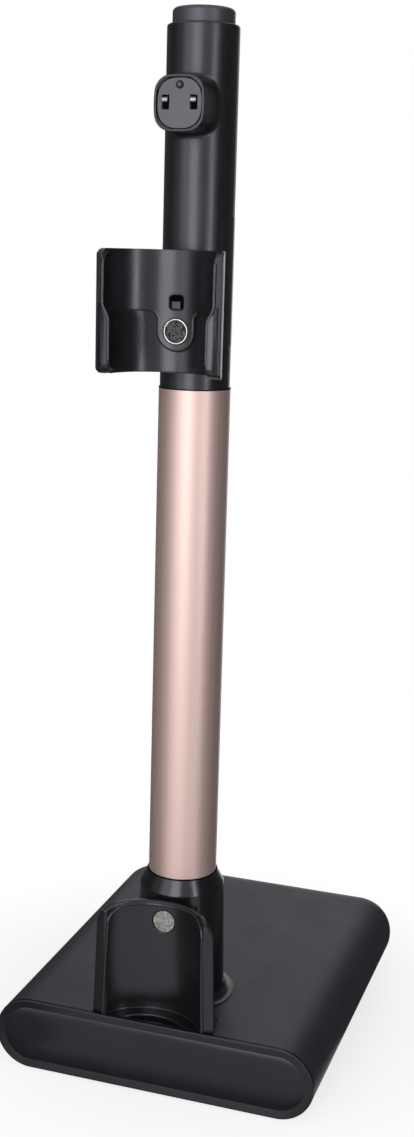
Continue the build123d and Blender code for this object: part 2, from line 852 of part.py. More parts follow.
def saddle(radius, axis, top, mouth):
    """Upright cylinder inside the upper cradle, cut off in front at a reach."""
    with BuildPart() as form:
        with BuildSketch(level(cradle_low)):
            with Locations((0, -axis)):
                Circle(radius)
            with Locations((0, -mouth)):
                Rectangle(4 * radius, 2 * radius, align=(Align.CENTER, Align.MAX), mode=Mode.SUBTRACT)
        extrude(amount=top - cradle_low)
    return form.part


# Upper cradle: saddle with beaded wings, a stepped recess, a tongue and a pedestal against the housing
cradle_shell = saddle(shell_radius, shell_axis, cradle_high, cradle_reach)
bead_cut = saddle(saddle_radius - bead_height, saddle_axis, cradle_high, cradle_reach)
saddle_cut = saddle(saddle_radius, saddle_axis, cradle_high, bead_reach)
recess_form = saddle(recess_radius, recess_axis, recess_step, recess_reach)
with BuildPart() as recess_cut:
    with BuildSketch(facing(0)) as recess_view:
        with Locations((0, recess_step)):
            Rectangle(4 * shell_radius, recess_height, align=(Align.CENTER, Align.MAX))
        with Locations((0, upper_magnet_height)):
            Circle(tongue_half, mode=Mode.SUBTRACT)
            Rectangle(2 * tongue_half, cradle_high, align=(Align.CENTER, Align.MIN), mode=Mode.SUBTRACT)
        corners = recess_view.vertices().sort_by_distance((0, recess_step))[:2]
        fillet(corners, radius=tongue_corner)
    extrude(amount=cradle_reach)
    add(recess_form, mode=Mode.INTERSECT)
with BuildPart() as upper_cradle:
    add(cradle_shell)
    with BuildSketch(sideways(0)) as side_view:
        with Locations(((cradle_reach + housing_bore) / 2, (cradle_low + cradle_high) / 2)):
            Rectangle(cradle_reach - housing_bore, cradle_height)
        fillet(side_view.vertices().group_by(Axis.X)[-1], radius=cradle_corner)
    extrude(amount=2 * shell_radius, both=True, mode=Mode.INTERSECT)
    with BuildSketch(facing(tongue_face, height=(pedestal_low + pedestal_high) / 2)):
        RectangleRounded(2 * pedestal_half, pedestal_high - pedestal_low, pedestal_corner)
    extrude(amount=-tongue_face / 2)
    with BuildSketch(level(cradle_low)):
        Circle(housing_radius)
    extrude(amount=cradle_high - cradle_low, mode=Mode.SUBTRACT)
    add(bead_cut, mode=Mode.SUBTRACT)
    add(saddle_cut, mode=Mode.SUBTRACT)
    add(recess_cut.part, mode=Mode.SUBTRACT)
    step_edges = [edge for face in barrels(upper_cradle, saddle_radius) for edge in face.edges()]
    step_edges = [edge for edge in step_edges if edge.center().Z < recess_step + same_size]
    mouth_y = post_y - recess_reach
    fillet([edge for edge in step_edges if edge.center().Y > mouth_y + same_size], radius=step_round)
    cove_edges = [edge for face in barrels(upper_cradle, recess_radius) for edge in face.edges()]
    cove_edges = [edge for edge in cove_edges if edge.center().Z > cradle_low + bead_width]
    fillet([edge for edge in cove_edges if edge.center().Y > mouth_y + same_size], radius=step_round)
    tip_y = post_y - cradle_reach
    tips = [face for face in upper_cradle.faces() if abs(face.center().Y - tip_y) < same_size]
    fillet([edge for face in tips for edge in face.edges()], radius=tip_round)
    with BuildSketch(facing(tongue_face + upper_magnet_proud - magnet_thickness, height=upper_magnet_height)):
        Circle(magnet_radius + magnet_gap)
    extrude(amount=cradle_reach, mode=Mode.SUBTRACT)
    with BuildSketch(facing(tongue_face, height=catch_height)):
        RectangleRounded(catch_window, catch_window, catch_window_corner)
    extrude(amount=-catch_wall, mode=Mode.SUBTRACT)
    with BuildSketch(facing(tongue_face, height=catch_height)):
        RectangleRounded(catch_window, catch_window, catch_window_corner)
    extrude(amount=catch_wall, mode=Mode.SUBTRACT)
    with BuildSketch(facing(catch_stop, height=catch_height)):
        Rectangle(catch_flange + 2 * running_gap, catch_flange + 2 * running_gap)
    extrude(amount=-catch_stop / 2, mode=Mode.SUBTRACT)
    with BuildSketch(facing(cradle_pad_face)):
        with Locations(*cradle_screw_points):
            Circle(screw_radius)
    extrude(amount=cradle_screw_grip, mode=Mode.SUBTRACT)
finish(upper_cradle.part, "upper_cradle")

# Upper cradle screws: driven forward from inside the front shell into the pedestal
cradle_screw_seats = [rearward(-cradle_pad_face, side, height) for side, height in cradle_screw_points]
upper_cradle_screws = screw_group(
    cradle_screw_seats, screw_radius, screw_head_radius, screw_head_height, cradle_screw_grip
)
finish(upper_cradle_screws, "upper_cradle_screws")

# Upper magnet: disc that stands slightly proud of the tongue
upper_magnet = magnet_disc(tongue_face + upper_magnet_proud, upper_magnet_height)
finish(upper_magnet, "upper_magnet")

# Cradle catch: sprung tab in the square window above the magnet
with BuildPart() as cradle_catch:
    with BuildSketch(facing(catch_stop - slip_gap, height=catch_height)):
        Rectangle(catch_flange, catch_flange)
    extrude(amount=-catch_flange_thickness)
    nose_low = catch_height - catch_window / 2 + running_gap
    with BuildSketch(facing(catch_stop - slip_gap, height=nose_low)):
        Rectangle(catch_nose_width, catch_nose_height, align=(Align.CENTER, Align.MIN))
    extrude(amount=tongue_face + catch_proud - catch_stop + slip_gap)
    nose_front = cradle_catch.faces().sort_by(Axis.Y)[0]
    fillet(nose_front.edges(), radius=catch_proud)
finish(cradle_catch.part, "cradle_catch")

# Catch spring: between the front shell and the catch's flange
catch_spring = coil_envelope(
    facing(catch_spring_seat, height=catch_height),
    catch_spring_radius,
    catch_stop - slip_gap - catch_flange_thickness - catch_spring_seat,
)
finish(catch_spring, "catch_spring")

# Contact plate: grey face of the puck, on the ledge inside the rim
plate_blank = puck_prism(plate_face, plate_thickness, puck_rim + slip_gap)
with BuildPart() as contact_plate:
    add(plate_blank)
    with BuildSketch(facing(plate_face)):
        with Locations((-contact_spread, contact_height), (contact_spread, contact_height)):
            RectangleRounded(contact_slot_width, contact_slot_height, contact_strip)
        with Locations((0, plunger_height)):
            Circle(plunger_hole_radius)
    extrude(amount=-plate_thickness, mode=Mode.SUBTRACT)
finish(contact_plate.part, "contact_plate")

# Contact block: carrier with the pockets of the two contacts and the bore of the plunger
block_blank = puck_prism(plate_back, block_depth, puck_rim + puck_ledge + slip_gap)
with BuildPart() as contact_block:
    add(block_blank)
    with BuildSketch(facing(plate_back)):
        with Locations((-contact_spread, contact_height), (contact_spread, contact_height)):
            Rectangle(contact_flange_width + 2 * running_gap, contact_flange_height + 2 * running_gap)
        with Locations((0, plunger_height)):
            Circle(plunger_flange_radius + running_gap)
    extrude(amount=-block_depth, mode=Mode.SUBTRACT)
finish(contact_block.part, "contact_block")

# Contact board: closes the back of the block and carries the springs
contact_board = puck_prism(block_back, board_thickness, puck_rim + puck_ledge + slip_gap)
finish(contact_board, "contact_board")


def charging_contact(side):
    """Sprung contact: a strip bent to a round nose on a flange."""
    nose_height = contact_height + contact_nose_lift
    nose_centre = plate_face + contact_proud - contact_nose_radius
    bend = contact_nose_radius - contact_strip / 2
    strip_root = contact_stop - contact_strip / 2
    with BuildPart() as contact:
        with BuildSketch(facing(contact_stop, side, contact_height)):
            Rectangle(contact_flange_width, contact_flange_height)
        extrude(amount=-contact_flange_thickness)
        with BuildSketch(sideways(side)):
            with BuildLine():
                Line((strip_root, nose_height + bend), (nose_centre, nose_height + bend))
                ThreePointArc(
                    (nose_centre, nose_height + bend),
                    (nose_centre + bend, nose_height),
                    (nose_centre, nose_height - bend),
                )
                Line((nose_centre, nose_height - bend), (strip_root, nose_height - bend))
            trace(line_width=contact_strip)
        extrude(amount=contact_strip_width / 2, both=True)
    return contact.part


# Charging contacts, left and right
contact_left = charging_contact(-contact_spread)
finish(contact_left, "contact_left")
contact_right = charging_contact(contact_spread)
finish(contact_right, "contact_right")

# Contact springs: between the board and each contact's flange
contact_spring_length = contact_stop - contact_flange_thickness - block_back
contact_spring_left = coil_envelope(
    facing(block_back, -contact_spread, contact_height), small_spring_radius, contact_spring_length
)
finish(contact_spring_left, "contact_spring_left")
contact_spring_right = coil_envelope(
    facing(block_back, contact_spread, contact_height), small_spring_radius, contact_spring_length
)
finish(contact_spring_right, "contact_spring_right")

# Dock plunger: domed pin above the contacts that senses a docked appliance
with BuildPart() as dock_plunger:
    with BuildSketch(facing(contact_stop, height=plunger_height)):
        Circle(plunger_flange_radius)
    extrude(amount=-plunger_flange_thickness)
    with BuildSketch(facing(contact_stop, height=plunger_height)):
        Circle(plunger_radius)
    extrude(amount=plate_face + plunger_proud - contact_stop)
    fillet(dock_plunger.edges().sort_by(Axis.Y)[0], radius=plunger_radius - running_gap)
finish(dock_plunger.part, "dock_plunger")

# Plunger spring: between the board and the plunger's flange
plunger_spring = coil_envelope(
    facing(block_back, height=plunger_height),
    small_spring_radius,
    contact_stop - plunger_flange_thickness - block_back,
)
finish(plunger_spring, "plunger_spring")

# Power lead: from the inlet along the base and up the post to the board
with BuildPart() as power_lead:
    with BuildLine() as route:
        FilletPolyline(
            (0, post_y + jack_face - jack_length, jack_height),
            (0, post_y + lead_setback, jack_height),
            (0, post_y + lead_setback, wire_height),
            (0, post_y - board_back, wire_height),
            radius=lead_bend,
        )
    with BuildSketch(rearward(jack_face - jack_length, height=jack_height)):
        Circle(lead_radius)
    sweep(path=route.line)
finish(power_lead.part, "power_lead")

# Power inlet: jack in the recess at the rear of the base, clamped by its inner nut
with BuildPart() as dc_jack:
    with BuildSketch(rearward(jack_face, height=jack_height)):
        Circle(jack_radius)
    extrude(amount=-jack_length)
    with BuildSketch(rearward(jack_face - jack_length / 2, height=jack_height)):
        Circle(jack_recess_radius)
    extrude(amount=-base_wall)
    with BuildSketch(rearward(jack_face, height=jack_height)):
        Circle(jack_hole_radius)
        Circle(jack_pin_radius, mode=Mode.SUBTRACT)
    extrude(amount=-jack_hole_depth, mode=Mode.SUBTRACT)
finish(dc_jack.part, "dc_jack")
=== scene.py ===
import math

import bmesh
import bpy
from mathutils import Matrix, Quaternion, Vector


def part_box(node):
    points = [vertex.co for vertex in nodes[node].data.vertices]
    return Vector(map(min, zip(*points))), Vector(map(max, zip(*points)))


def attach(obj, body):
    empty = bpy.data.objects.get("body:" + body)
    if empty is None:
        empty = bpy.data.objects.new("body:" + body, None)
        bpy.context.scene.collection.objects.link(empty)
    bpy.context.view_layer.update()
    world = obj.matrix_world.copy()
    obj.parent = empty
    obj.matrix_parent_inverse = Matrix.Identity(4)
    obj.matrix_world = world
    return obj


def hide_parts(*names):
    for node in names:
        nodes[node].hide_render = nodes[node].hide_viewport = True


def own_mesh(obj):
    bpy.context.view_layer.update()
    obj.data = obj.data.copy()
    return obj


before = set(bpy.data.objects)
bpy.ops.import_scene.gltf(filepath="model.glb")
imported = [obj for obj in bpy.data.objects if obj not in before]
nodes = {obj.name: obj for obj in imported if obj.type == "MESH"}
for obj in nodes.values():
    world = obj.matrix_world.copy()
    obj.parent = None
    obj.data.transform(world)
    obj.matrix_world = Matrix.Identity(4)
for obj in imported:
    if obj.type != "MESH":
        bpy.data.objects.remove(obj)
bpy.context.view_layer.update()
scene = bpy.context.scene
scene.view_settings.view_transform = "Standard"

# Camera: stands to the right of the front, a little above the middle of the post.
# Its place, aim and lens were fitted to the outlines of the base and the post.
# The housing's halves meet on the post's axis, from which all places are measured.
post_axis = Vector((0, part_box("housing_front")[1].y, 0))
camera_azimuth = math.radians(18.12)
camera_elevation = math.radians(12.16)
camera_roll = math.radians(1.60)
camera_distance = 1.2804
camera_aim = post_axis + Vector((0.0152, 0, 0.4564))
camera_lens = 47.58
camera_sensor = 36.0


def direction(azimuth, elevation=0.0):
    """Unit vector from the post to a place round it: 0 is the front, 90 degrees the right."""
    level = math.cos(elevation)
    return Vector((math.sin(azimuth) * level, -math.cos(azimuth) * level, math.sin(elevation)))


camera = bpy.data.objects.new("camera", bpy.data.cameras.new("camera"))
camera.data.sensor_width = camera_sensor
camera.data.lens = camera_lens
camera.rotation_mode = "QUATERNION"
look_back = direction(camera_azimuth, camera_elevation)
camera.location = camera_aim + look_back * camera_distance
level_view = (-look_back).to_track_quat("-Z", "Y")
camera.rotation_quaternion = level_view @ Quaternion((0, 0, 1), camera_roll)
scene.collection.objects.link(camera)
scene.camera = camera

# Backdrop: an even white surround, which polished pieces mirror too.
# Matt surfaces take a softer level of it, so shadows and black stay deep.
fill_colour = (0.97, 0.98, 1, 1)
fill_level = 0.42
surround = bpy.data.worlds.new("white_surround")
scene.world = surround
surround.use_nodes = True
tree = surround.node_tree


def white_to_the_eye(tree):
    """Factor that is 1 for what the camera sees directly, mirrored or through glass."""
    path = tree.nodes.new("ShaderNodeLightPath")
    straight = tree.nodes.new("ShaderNodeMath")
    straight.use_clamp = True
    tree.links.new(path.outputs["Is Camera Ray"], straight.inputs[0])
    tree.links.new(path.outputs["Is Glossy Ray"], straight.inputs[1])
    through = tree.nodes.new("ShaderNodeMath")
    through.use_clamp = True
    tree.links.new(straight.outputs[0], through.inputs[0])
    tree.links.new(path.outputs["Is Transmission Ray"], through.inputs[1])
    return through.outputs[0]


seen = tree.nodes["Background"]
seen.inputs["Color"].default_value = (1, 1, 1, 1)
seen.inputs["Strength"].default_value = 1.0
fill = tree.nodes.new("ShaderNodeBackground")
fill.inputs["Color"].default_value = fill_colour
fill.inputs["Strength"].default_value = fill_level
either = tree.nodes.new("ShaderNodeMixShader")
tree.links.new(white_to_the_eye(tree), either.inputs["Fac"])
tree.links.new(fill.outputs[0], either.inputs[1])
tree.links.new(seen.outputs[0], either.inputs[2])
tree.links.new(either.outputs[0], tree.nodes["World Output"].inputs["Surface"])

# Floor: a pale sheet that runs on into the backdrop.
# It keeps a faint trace of the stand's soft shadow and turns white further out.
floor_half = 6.0
floor_drop = 0.0002
floor_colour = (0.86, 0.86, 0.86, 1)
shadow_reach = 0.16
white_reach = 0.34
shadow_share = 0.25


def add_piece(name, mesh):
    """Object at the origin that holds a finished bmesh."""
    data = bpy.data.meshes.new(name)
    mesh.to_mesh(data)
    mesh.free()
    piece = bpy.data.objects.new(name, data)
    scene.collection.objects.link(piece)
    return piece


sheet = bmesh.new()
bmesh.ops.create_grid(sheet, x_segments=1, y_segments=1, size=floor_half)
bmesh.ops.translate(sheet, verts=sheet.verts, vec=(0, 0, -floor_drop))
floor = add_piece("floor", sheet)
paper = bpy.data.materials.new("floor_paper")
paper.use_nodes = True
tree = paper.node_tree
matt = tree.nodes["Principled BSDF"]
matt.inputs["Base Color"].default_value = floor_colour
matt.inputs["Roughness"].default_value = 1.0
matt.inputs["Specular IOR Level"].default_value = 0.0
glow = tree.nodes.new("ShaderNodeEmission")
spot = tree.nodes.new("ShaderNodeTexCoord")
away = tree.nodes.new("ShaderNodeVectorMath")
away.operation = "LENGTH"
tree.links.new(spot.outputs["Object"], away.inputs[0])
fade = tree.nodes.new("ShaderNodeMapRange")
fade.inputs["From Min"].default_value = shadow_reach
fade.inputs["From Max"].default_value = white_reach
fade.inputs["To Min"].default_value = 1 - shadow_share
tree.links.new(away.outputs["Value"], fade.inputs["Value"])
share = tree.nodes.new("ShaderNodeMath")
share.operation = "MULTIPLY"
tree.links.new(white_to_the_eye(tree), share.inputs[0])
tree.links.new(fade.outputs[0], share.inputs[1])
blend = tree.nodes.new("ShaderNodeMixShader")
tree.links.new(share.outputs[0], blend.inputs["Fac"])
tree.links.new(matt.outputs[0], blend.inputs[1])
tree.links.new(glow.outputs[0], blend.inputs[2])
tree.links.new(blend.outputs[0], tree.nodes["Material Output"].inputs["Surface"])
floor.data.materials.append(paper)

# Lamps: a broad softbox in front, two weaker ones on its left and a narrow strip on the right.
# They stand out of the camera's sight.
lamp_height = 0.8
lamp_tall = 2.1
aim_height = 0.7


def softbox(name, azimuth, distance, width, radiance):
    """Rectangular lamp that faces the post, with an even radiance over its face."""
    lamp = bpy.data.lights.new(name, "AREA")
    lamp.shape = "RECTANGLE"
    lamp.size = width
    lamp.size_y = lamp_tall
    lamp.energy = radiance * math.pi * width * lamp_tall
    stand = bpy.data.objects.new(name, lamp)
    place = post_axis + direction(math.radians(azimuth)) * distance
    stand.location = (place.x, place.y, lamp_height)
    aim = Vector((post_axis.x, post_axis.y, aim_height)) - stand.location
    stand.rotation_mode = "QUATERNION"
    stand.rotation_quaternion = aim.to_track_quat("-Z", "Y")
    stand.visible_camera = False
    scene.collection.objects.link(stand)


softbox("front_softbox", azimuth=-1, distance=1.7, width=0.85, radiance=5.0)
softbox("left_softbox", azimuth=-31, distance=1.75, width=0.6, radiance=1.8)
softbox("left_fill", azimuth=-58, distance=1.8, width=0.85, radiance=0.42)
softbox("right_strip", azimuth=57, distance=1.5, width=0.13, radiance=13.0)

# Flags: black cards bent round both sides of the set and over the floor.
# Only reflections see them, and they keep the sides of black plastic black.
flag_foot = 0.17
flag_distance = 2.0
flag_top = 2.6
flag_lift = 0.001
flag_steps = 24
low_flag_top = 0.1
card_colour = (0.12, 0.12, 0.12, 1)
# Size and place of the dark card that paints the contact shadow in reflections.
contact_shadow_card_size = (0.17, 0.0145, 1)
contact_shadow_card_place = post_axis + Vector((0, -0.0895, flag_lift))
card_black = bpy.data.materials.new("card_black")
card_black.use_nodes = True
shader = card_black.node_tree.nodes["Principled BSDF"]
shader.inputs["Base Color"].default_value = card_colour


def only_mirrored(piece):
    """Leaves a black card to reflections alone and keeps it off the object."""
    piece.data.materials.append(card_black)
    piece.visible_camera = False
    piece.visible_diffuse = False
    piece.visible_shadow = False
    piece.visible_transmission = False


def flag(name, start, end, top=flag_top):
    """Card bent round the post between two azimuths, from the floor near it up to a wall."""
    card = bmesh.new()
    outward = direction(math.radians(start))
    inner = card.verts.new(post_axis + outward * flag_foot + Vector((0, 0, flag_lift)))
    bend = card.verts.new(post_axis + outward * flag_distance + Vector((0, 0, flag_lift)))
    upper = card.verts.new(post_axis + outward * flag_distance + Vector((0, 0, top)))
    edges = [card.edges.new((inner, bend)), card.edges.new((bend, upper))]
    bmesh.ops.spin(
        card,
        geom=[inner, bend, upper, *edges],
        cent=post_axis,
        axis=(0, 0, 1),
        angle=math.radians(end - start),
        steps=flag_steps,
    )
    only_mirrored(add_piece(name, card))


flag("left_flag", start=-150, end=-46)
flag("front_flag", start=-46, end=-38, top=low_flag_top)
flag("right_flag", start=66, end=168)
# Painted shadow: a dark card on the floor just in front of the base, seen only in reflections,
# stands in for the contact shadow there.
contact_shadow_card = bmesh.new()
bmesh.ops.create_grid(contact_shadow_card, x_segments=1, y_segments=1, size=1)
bmesh.ops.scale(contact_shadow_card, verts=contact_shadow_card.verts, vec=contact_shadow_card_size)
bmesh.ops.translate(contact_shadow_card, verts=contact_shadow_card.verts, vec=contact_shadow_card_place)
only_mirrored(add_piece("contact_shadow_card", contact_shadow_card))

# Base covers: two moulded shells of black plastic, snapped and screwed together.
# Their skin has a fine spark-eroded grain and a faint violet cast.
violet_cast = (0.95, 0.9, 1.0)
cloud_scale = 26.0
cloud_detail = 4.0
cloud_dark = 0.8
cloud_light = 1.2
cloud_low = 0.3
cloud_high = 0.7
polish_spread = 0.03
grain_detail = 2.0
edge_samples = 4
mix_first = 6
mix_second = 7
mix_result = 2


def moulded_plastic(name, colour, roughness, grain, relief, edge, gloss=0.5, cast=(1, 1, 1)):
    """Dyed plastic with cloudy tone, an uneven polish, a grain of given size and softened edges."""
    material = bpy.data.materials.new(name)
    material.use_nodes = True
    tree = material.node_tree
    shader = tree.nodes["Principled BSDF"]
    shader.inputs["Specular IOR Level"].default_value = gloss
    shader.inputs["Specular Tint"].default_value = (*cast, 1)
    place = tree.nodes.new("ShaderNodeTexCoord")
    cloud = tree.nodes.new("ShaderNodeTexNoise")
    cloud.inputs["Scale"].default_value = cloud_scale
    cloud.inputs["Detail"].default_value = cloud_detail
    tree.links.new(place.outputs["Object"], cloud.inputs["Vector"])
    tone = tree.nodes.new("ShaderNodeMix")
    tone.data_type = "RGBA"
    tone.inputs[mix_first].default_value = (*[part * cloud_dark for part in colour], 1)
    tone.inputs[mix_second].default_value = (*[part * cloud_light for part in colour], 1)
    tree.links.new(cloud.outputs["Fac"], tone.inputs["Factor"])
    tree.links.new(tone.outputs[mix_result], shader.inputs["Base Color"])
    polish = tree.nodes.new("ShaderNodeMapRange")
    polish.inputs["From Min"].default_value = cloud_low
    polish.inputs["From Max"].default_value = cloud_high
    polish.inputs["To Min"].default_value = roughness - polish_spread
    polish.inputs["To Max"].default_value = roughness + polish_spread
    tree.links.new(cloud.outputs["Fac"], polish.inputs["Value"])
    tree.links.new(polish.outputs[0], shader.inputs["Roughness"])
    speckle = tree.nodes.new("ShaderNodeTexNoise")
    speckle.inputs["Scale"].default_value = 1.0 / grain
    speckle.inputs["Detail"].default_value = grain_detail
    tree.links.new(place.outputs["Object"], speckle.inputs["Vector"])
    soft_edge = tree.nodes.new("ShaderNodeBevel")
    soft_edge.samples = edge_samples
    soft_edge.inputs["Radius"].default_value = edge
    bump = tree.nodes.new("ShaderNodeBump")
    bump.inputs["Strength"].default_value = 1.0
    bump.inputs["Distance"].default_value = relief
    tree.links.new(speckle.outputs["Fac"], bump.inputs["Height"])
    tree.links.new(soft_edge.outputs[0], bump.inputs["Normal"])
    tree.links.new(bump.outputs[0], shader.inputs["Normal"])
    return material


def finish_nodes(material, *names):
    """Gives CAD nodes a finish."""
    for name in names:
        for slot in nodes[name].material_slots:
            slot.material = material


grained_black = moulded_plastic(
    "grained_black",
    colour=(0.0085, 0.008, 0.015),
    roughness=0.5,
    grain=0.0009,
    relief=0.000025,
    edge=0.0008,
    gloss=0.4,
    cast=violet_cast,
)
finish_nodes(grained_black, "base_cover", "base_tray")

# Base front cover: moulded end cap, pressed into the open front of the base.
# Inside a thin rim its border slopes in to a slightly crowned panel of duller black plastic.
base_middle = 0.03435
base_round = 0.03235
base_half = 0.1465
cover_reach = 0.0726
cover_corner = 0.0323
cover_segments = 32
cover_thickness = 0.0026
rim_edge = 0.0009
rim_segments = 3
cover_steps = (
    (0.0012, 0.0),
    (0.0004, -0.0001),
    (0.0056, -0.0011),
    (0.0004, -0.0001),
    (0.0012, 0.0005),
    (0.005, 0.0005),
    (0.01, 0.0002),
)
cool_cast = (0.9, 0.92, 1.0)
sharp_turn = math.radians(35)
quarter_turn = math.radians(90)
border_black = moulded_plastic(
    "border_black",
    colour=(0.006, 0.006, 0.0075),
    roughness=0.3,
    grain=0.0007,
    relief=0.000012,
    edge=0.0003,
    gloss=0.3,
    cast=cool_cast,
)
cover = bmesh.new()
bmesh.ops.create_grid(cover, x_segments=1, y_segments=1, size=1)
bmesh.ops.scale(cover, verts=cover.verts, vec=(base_half, base_round, 1))
bmesh.ops.bevel(
    cover,
    geom=cover.verts[:],
    offset=cover_corner,
    offset_type="OFFSET",
    affect="VERTICES",
    segments=cover_segments,
    profile=0.5,
    material=-1,
)
bmesh.ops.remove_doubles(cover, verts=cover.verts, dist=rim_edge)
raised = bmesh.ops.extrude_face_region(cover, geom=cover.faces[:])["geom"]
lifted = [part for part in raised if isinstance(part, bmesh.types.BMVert)]
bmesh.ops.translate(cover, verts=lifted, vec=(0, 0, cover_thickness))
front = [part for part in raised if isinstance(part, bmesh.types.BMFace)]
outline = [edge for face in front for edge in face.edges]
bmesh.ops.recalc_face_normals(cover, faces=cover.faces)
for width, rise in cover_steps:
    bmesh.ops.inset_region(cover, faces=front, thickness=width, depth=rise, use_even_offset=True)
bmesh.ops.bevel(
    cover,
    geom=outline,
    offset=rim_edge,
    offset_type="OFFSET",
    affect="EDGES",
    segments=rim_segments,
    profile=0.5,
    material=-1,
)
facing_front = Matrix.Rotation(quarter_turn, 4, "X")
cover_place = Matrix.Translation(post_axis + Vector((0, -cover_reach, base_middle)))
bmesh.ops.transform(cover, matrix=cover_place @ facing_front, verts=cover.verts)
for face in cover.faces:
    face.smooth = True
end_cover = add_piece("end_cover", cover)
end_cover.data.set_sharp_from_angle(angle=sharp_turn)
end_cover.data.materials.append(border_black)
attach(end_cover, "stand")
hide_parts("base_front_cover")

# Post socket: a collar moulded in smooth black plastic, screwed to the base from below.
# It holds the tube and carries the lower cradle.
collar_black = moulded_plastic(
    "collar_black",
    colour=(0.004, 0.0043, 0.005),
    roughness=0.22,
    grain=0.0006,
    relief=0.00001,
    edge=0.0009,
    gloss=0.44,
    cast=cool_cast,
)
finish_nodes(collar_black, "post_socket")

# Lower cradle: a trough with a flat border, moulded in the same plastic and screwed to the collar.
# Its border slants back a little towards the outside.
weld = 0.000002
border_half = 0.0456
border_front = 0.0721
border_slant = math.radians(13)
cradle_black = moulded_plastic(
    "cradle_black",
    colour=(0.004, 0.0043, 0.005),
    roughness=0.26,
    grain=0.0006,
    relief=0.00001,
    edge=0.0018,
    gloss=0.44,
    cast=cool_cast,
)


def smooth_outward(mesh):
    """Turns the faces of a closed mesh outward and shades them smooth."""
    bmesh.ops.recalc_face_normals(mesh, faces=mesh.faces)
    for face in mesh.faces:
        face.smooth = True


def slant_ends(mesh, half, reach, slant):
    """Trims the front on both sides back towards the outside and closes the cuts."""
    for way in (-1, 1):
        cut = bmesh.ops.bisect_plane(
            mesh,
            geom=[*mesh.verts, *mesh.edges, *mesh.faces],
            plane_co=post_axis + Vector((way * half, -reach, 0)),
            plane_no=direction(way * slant),
            clear_outer=True,
        )
        rim = [part for part in cut["geom_cut"] if isinstance(part, bmesh.types.BMEdge)]
        bmesh.ops.holes_fill(mesh, edges=rim)
        for edge in rim:
            edge.smooth = False
    smooth_outward(mesh)


def slanted_copy(name, node, half, reach, slant):
    """Copy of a CAD node with slanted front borders, which stands for the node."""
    mesh = bmesh.new()
    mesh.from_mesh(nodes[node].data)
    for edge in mesh.edges:
        edge.smooth = not edge.is_boundary
    bmesh.ops.remove_doubles(mesh, verts=mesh.verts, dist=weld)
    slant_ends(mesh, half, reach, slant)
    piece = add_piece(name, mesh)
    piece.data.materials.clear()
    piece.data.materials.append(cradle_black)
    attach(piece, "stand")
    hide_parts(node)


slanted_copy("trough_cradle", "lower_cradle", border_half, border_front, border_slant)

# Rim bead of the lower cradle: a rounded ridge moulded along the edge of its trough.
# It runs up one side, over the top and down the other, in the same black plastic.
trough_axis = 0.097212
trough_radius = 0.050612
border_reach = 0.0722
bead_low = 0.0667
bead_high = 0.1652
bead_foot_half = 0.0458
bead_top_half = 0.0428
bead_shoulder = 0.013
lower_bead_radius = 0.0015
bead_sides = 12
bead_turn = math.radians(50)
bead_rows = 12
arc_steps = 10


def bead(name, path, radius, finish):
    """Round ridge along a path of points, closed at both ends."""
    ridge = bmesh.new()
    rings = []
    for place, point in enumerate(path):
        along = (path[min(place + 1, len(path) - 1)] - path[max(place - 1, 0)]).normalized()
        across = along.cross(Vector((0, 1, 0))).normalized()
        up = across.cross(along)
        ring = []
        for side in range(bead_sides):
            turn = math.tau * side / bead_sides
            aside = across * radius * math.cos(turn)
            rise = up * radius * math.sin(turn)
            ring.append(ridge.verts.new(point + aside + rise))
        rings.append(ring)
    for ring, following in zip(rings, rings[1:]):
        for side in range(bead_sides):
            ridge.faces.new((ring[side - 1], ring[side], following[side], following[side - 1]))
    ridge.faces.new(rings[0])
    ridge.faces.new(rings[-1])
    smooth_outward(ridge)
    piece = add_piece(name, ridge)
    piece.data.set_sharp_from_angle(angle=bead_turn)
    piece.data.materials.append(finish)
    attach(piece, "stand")


def on_trough(side, height):
    """Point on the front of the lower cradle at a side and a height."""
    inside = trough_radius**2 - side**2
    depth = trough_axis - math.sqrt(max(0.0, inside))
    return post_axis + Vector((side, -min(depth, border_reach), height))


right_half = [(bead_foot_half, bead_low)]
shoulder_low = bead_high - bead_shoulder
for step in range(1, bead_rows + 1):
    share = step / bead_rows
    half = bead_foot_half + (bead_top_half - bead_foot_half) * share
    right_half.append((half, bead_low + (shoulder_low - bead_low) * share))
for step in range(1, arc_steps + 1):
    turn = quarter_turn * step / arc_steps
    half = bead_top_half - bead_shoulder * (1 - math.cos(turn))
    right_half.append((half, shoulder_low + bead_shoulder * math.sin(turn)))
for step in range(1, bead_rows + 1):
    half = (bead_top_half - bead_shoulder) * (1 - step / bead_rows)
    right_half.append((half, bead_high))
whole = right_half + [(-side, height) for side, height in reversed(right_half[:-1])]
rim_path = [on_trough(side, height) for side, height in whole]
bead("lower_rim_bead", rim_path, lower_bead_radius, collar_black)

# Housing halves, catch, sleeve and contact carrier: moulded in satin black plastic.
# The halves are screwed together from behind and carry the upper cradle.
satin_black = moulded_plastic(
    "satin_black",
    colour=(0.0045, 0.0048, 0.0054),
    roughness=0.31,
    grain=0.0006,
    relief=0.00001,
    edge=0.0009,
    gloss=0.44,
    cast=cool_cast,
)
finish_nodes(satin_black, "housing_front", "housing_rear")
finish_nodes(satin_black, "cradle_catch", "joint_sleeve", "contact_block")

# Upper cradle: a saddle with two wings, moulded in black plastic and screwed to the housing.
# The ends of the wings slant back towards the outside, so that their inner rims lead.
tip_half = 0.0412
tip_reach = 0.0957
tip_slant = math.radians(17)
slanted_copy("wing_saddle", "upper_cradle", tip_half, tip_reach, tip_slant)

# Lining of the upper cradle: below the step its wings are thicker and hug a slimmer body.
# It is moulded in one with the saddle, and an S-shaped slope leads up into the wider half.
# Inside the tongue it ends below the pocket of the catch.
ray_centre = 0.09
wide_radius = 0.0468
wide_axis = 0.0968
slim_radius = 0.041
slim_axis = 0.087
wall_radius = 0.0494
wall_axis = 0.0945
lining_low = 0.6250
lining_step = 0.6733
lining_blend = 0.0065
lining_top = lining_step + lining_blend
lining_sink = 0.0006
lining_reach = 0.0955
lining_columns = 72
lining_rows = 40
wing_round = 0.011
lining_end = math.radians(97)
tongue_turn = math.radians(16)
tongue_top = 0.6695


